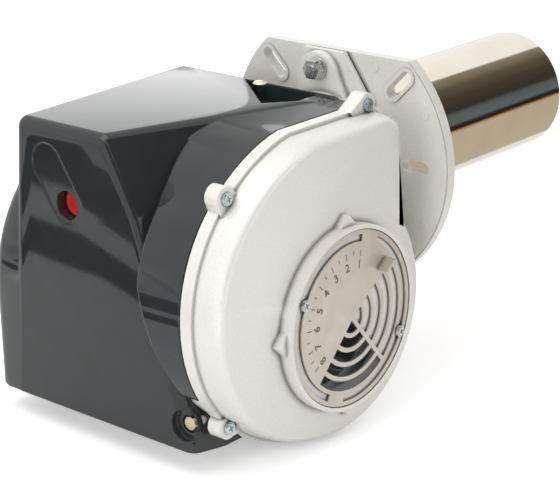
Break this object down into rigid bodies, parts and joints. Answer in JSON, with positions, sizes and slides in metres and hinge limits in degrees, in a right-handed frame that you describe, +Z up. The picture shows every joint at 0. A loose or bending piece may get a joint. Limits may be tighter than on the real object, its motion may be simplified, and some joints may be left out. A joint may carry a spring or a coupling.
{
  "type": "oil burner",
  "caption": "Pressure-jet oil burner: a blast tube on a slotted mounting flange, a fan in a cast volute with a turning air damper, and a moulded hood over motor, pump and controls.",
  "frame": {"origin": "on the blast tube's axis, in the mounting flange's face towards the boiler", "axes": "+Y along the blast tube towards its open end, +X towards the air intake, +Z up"},
  "size_m": [0.2438, 0.44, 0.237],
  "materials": {
    "cast_aluminium": "die-cast, light shot-blasted grain",
    "stainless_steel": "polished stainless sheet",
    "nickel_plate": "stamped sheet, satin plated",
    "zinc_plated_steel": "blue zinc plated",
    "yellow_zinc_steel": "yellow zinc plated steel",
    "bare_steel": "ground shaft steel",
    "turned_brass": "turned brass",
    "heat_steel": "heat-resistant sheet steel",
    "glazed_ceramic": null,
    "pump_casting": "grey machined casting",
    "motor_paint": "grey lacquer over a finned casting",
    "hood_plastic": "dark slate, moulded, glossy",
    "red_plastic": "moulded push button",
    "white_plastic": "moulded",
    "black_plastic": "moulded",
    "lead_rubber": "silicone rubber",
    "seal_board": null
  },
  "bodies": {
    "burner": {"mounting_flange": "cast_aluminium", "neck_seal": "seal_board", "blast_tube": "stainless_steel", "tube_screws": "zinc_plated_steel", "clamp_stud": "zinc_plated_steel", "clamp_washer": "zinc_plated_steel", "clamp_nut": "zinc_plated_steel", "fan_casing": "cast_aluminium", "volute_cover": "cast_aluminium", "volute_screws": "zinc_plated_steel", "damper_screws": "zinc_plated_steel", "motor_body": "motor_paint", "motor_screws": "zinc_plated_steel", "capacitor": "white_plastic", "capacitor_clip": "zinc_plated_steel", "pump_bracket": "cast_aluminium", "pump_body": "pump_casting", "valve_coil": "black_plastic", "oil_pipe": "turned_brass", "nozzle_line": "turned_brass", "line_nut": "turned_brass", "nozzle": "turned_brass", "flame_disc": "heat_steel", "electrode_holder": "zinc_plated_steel", "electrodes": "glazed_ceramic", "electrode_wires": "bare_steel", "ignition_leads": "lead_rubber", "ignition_transformer": "black_plastic", "control_base": "white_plastic", "control_box": "black_plastic", "flame_sensor": "black_plastic", "chassis_plate": "zinc_plated_steel", "hood": "hood_plastic", "hood_top_screw": "yellow_zinc_steel", "hood_bottom_screw": "yellow_zinc_steel"},
    "rotor": {"fan_wheel": "zinc_plated_steel", "motor_shaft": "bare_steel", "drive_coupling": "black_plastic", "pump_shaft": "bare_steel"},
    "damper": {"damper_disc": "nickel_plate"},
    "reset": {"reset_button": "red_plastic"}
  },
  "joints": [
    {"name": "fan_spin", "type": "hinge", "parent": "burner", "child": "rotor", "pos_m": [0, -0.108, -0.075], "axis": [1, 0, 0], "continuous": true},
    {"name": "damper_turn", "type": "hinge", "parent": "burner", "child": "damper", "pos_m": [0, -0.108, -0.075], "axis": [1, 0, 0], "range_deg": [-80, 70]},
    {"name": "reset_push", "type": "slide", "parent": "burner", "child": "reset", "axis": [0, 1, 0], "range_m": [0, 0.0025], "stiffness_N_per_m": 600, "springref_m": -0.002}
  ]
}
